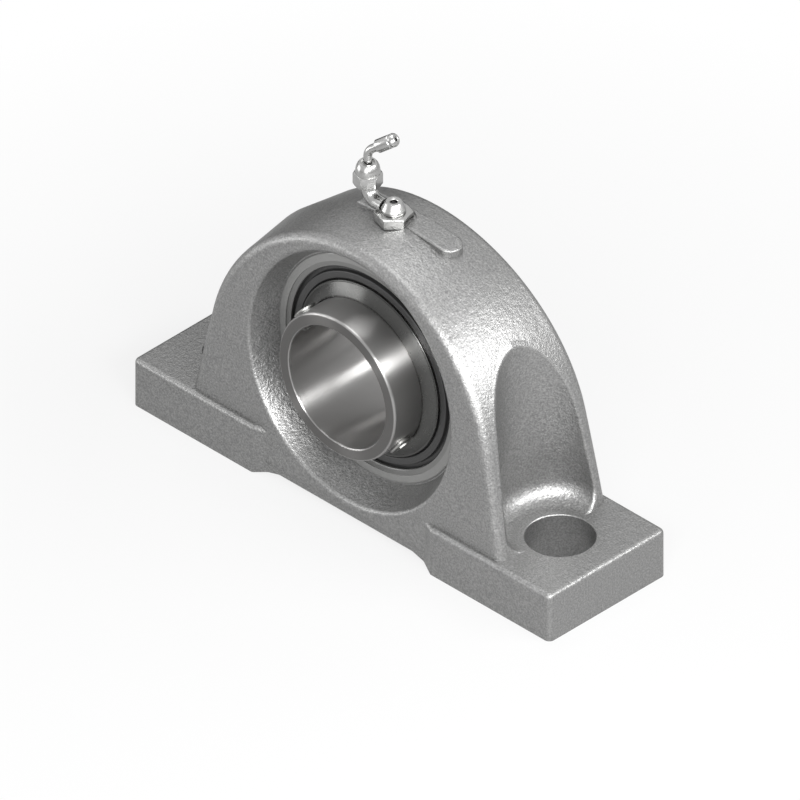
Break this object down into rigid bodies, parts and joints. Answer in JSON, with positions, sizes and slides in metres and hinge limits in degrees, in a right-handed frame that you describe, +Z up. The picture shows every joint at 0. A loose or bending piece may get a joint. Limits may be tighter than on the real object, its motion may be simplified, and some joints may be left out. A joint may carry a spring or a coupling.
{
  "type": "pillow block bearing",
  "caption": "Cast pillow block housing with a self-aligning sealed ball insert, set screw collar and a two-outlet grease fitting on its crown.",
  "frame": {"origin": "centre of the underside of the base, midway between the two bolt holes", "axes": "+X along the base towards the bolt hole at the right of the picture, +Y along the shaft away from the set screw collar, +Z up"},
  "size_m": [0.219, 0.0644, 0.157],
  "materials": {
    "cast_iron": "blasted casting, fine grain",
    "bearing_steel": "ground and polished",
    "ball_steel": "polished",
    "pressed_steel": "bright pressed sheet",
    "screw_steel": "satin",
    "plated_steel": "bright nickel plate",
    "spring_steel": "drawn wire",
    "seal_rubber": "matt moulded rubber"
  },
  "bodies": {
    "housing": {"housing": "cast_iron", "fitting_adapter": "plated_steel", "nipple": "plated_steel", "nipple_spring": "spring_steel", "fitting_elbow": "plated_steel", "union_nut": "plated_steel", "fitting_neck": "plated_steel", "tip_nipple": "plated_steel", "tip_spring": "spring_steel"},
    "outer_ring": {"outer_ring": "bearing_steel", "seal_front": "seal_rubber", "seal_back": "seal_rubber"},
    "inner_ring": {"inner_ring": "bearing_steel", "flinger_front": "pressed_steel", "flinger_back": "pressed_steel", "set_screw_left": "screw_steel", "set_screw_right": "screw_steel"},
    "cage": {"cage": "pressed_steel"},
    "ball_01": {"ball_01": "ball_steel"},
    "ball_02": {"ball_02": "ball_steel"},
    "ball_03": {"ball_03": "ball_steel"},
    "ball_04": {"ball_04": "ball_steel"},
    "ball_05": {"ball_05": "ball_steel"},
    "ball_06": {"ball_06": "ball_steel"},
    "ball_07": {"ball_07": "ball_steel"},
    "ball_08": {"ball_08": "ball_steel"},
    "ball_09": {"ball_09": "ball_steel"},
    "ball_10": {"ball_10": "ball_steel"},
    "nipple_ball": {"nipple_ball": "ball_steel"},
    "tip_ball": {"tip_ball": "ball_steel"}
  },
  "joints": [
    {"name": "insert_tilt", "type": "hinge", "parent": "housing", "child": "outer_ring", "pos_m": [0, 0, 0.0635], "axis": [1, 0, 0], "range_deg": [-2, 2]},
    {"name": "shaft_spin", "type": "hinge", "parent": "outer_ring", "child": "inner_ring", "pos_m": [0, 0, 0.0635], "axis": [0, 1, 0], "continuous": true},
    {"name": "cage_spin", "type": "hinge", "parent": "outer_ring", "child": "cage", "pos_m": [0, 0, 0.0635], "axis": [0, 1, 0], "continuous": true},
    {"name": "ball_01_spin", "type": "hinge", "parent": "cage", "child": "ball_01", "pos_m": [0.03685, 0, 0.07547], "axis": [0, 1, 0], "continuous": true},
    {"name": "ball_02_spin", "type": "hinge", "parent": "cage", "child": "ball_02", "pos_m": [0.02278, 0, 0.09485], "axis": [0, 1, 0], "continuous": true},
    {"name": "ball_03_spin", "type": "hinge", "parent": "cage", "child": "ball_03", "pos_m": [0, 0, 0.10225], "axis": [0, 1, 0], "continuous": true},
    {"name": "ball_04_spin", "type": "hinge", "parent": "cage", "child": "ball_04", "pos_m": [-0.02278, 0, 0.09485], "axis": [0, 1, 0], "continuous": true},
    {"name": "ball_05_spin", "type": "hinge", "parent": "cage", "child": "ball_05", "pos_m": [-0.03685, 0, 0.07547], "axis": [0, 1, 0], "continuous": true},
    {"name": "ball_06_spin", "type": "hinge", "parent": "cage", "child": "ball_06", "pos_m": [-0.03685, 0, 0.05153], "axis": [0, 1, 0], "continuous": true},
    {"name": "ball_07_spin", "type": "hinge", "parent": "cage", "child": "ball_07", "pos_m": [-0.02278, 0, 0.03215], "axis": [0, 1, 0], "continuous": true},
    {"name": "ball_08_spin", "type": "hinge", "parent": "cage", "child": "ball_08", "pos_m": [0, 0, 0.02475], "axis": [0, 1, 0], "continuous": true},
    {"name": "ball_09_spin", "type": "hinge", "parent": "cage", "child": "ball_09", "pos_m": [0.02278, 0, 0.03215], "axis": [0, 1, 0], "continuous": true},
    {"name": "ball_10_spin", "type": "hinge", "parent": "cage", "child": "ball_10", "pos_m": [0.03685, 0, 0.05153], "axis": [0, 1, 0], "continuous": true},
    {"name": "nipple_ball_lift", "type": "slide", "parent": "housing", "child": "nipple_ball", "axis": [0, 0, -1], "range_m": [0, 0.0012], "stiffness_N_per_m": 60, "springref_m": -0.0005, "deforming": ["nipple_spring"]},
    {"name": "tip_ball_lift", "type": "slide", "parent": "housing", "child": "tip_ball", "axis": [-0.7501, -0.3031, -0.5878], "range_m": [0, 0.0008], "stiffness_N_per_m": 40, "springref_m": -0.0005, "deforming": ["tip_spring"]}
  ],
  "couplings": [
    {"joint": "cage_spin", "follows": "shaft_spin", "ratio": 0.40782},
    {"joint": "ball_01_spin", "follows": "shaft_spin", "ratio": -2.6199},
    {"joint": "ball_02_spin", "follows": "shaft_spin", "ratio": -2.6199},
    {"joint": "ball_03_spin", "follows": "shaft_spin", "ratio": -2.6199},
    {"joint": "ball_04_spin", "follows": "shaft_spin", "ratio": -2.6199},
    {"joint": "ball_05_spin", "follows": "shaft_spin", "ratio": -2.6199},
    {"joint": "ball_06_spin", "follows": "shaft_spin", "ratio": -2.6199},
    {"joint": "ball_07_spin", "follows": "shaft_spin", "ratio": -2.6199},
    {"joint": "ball_08_spin", "follows": "shaft_spin", "ratio": -2.6199},
    {"joint": "ball_09_spin", "follows": "shaft_spin", "ratio": -2.6199},
    {"joint": "ball_10_spin", "follows": "shaft_spin", "ratio": -2.6199}
  ]
}
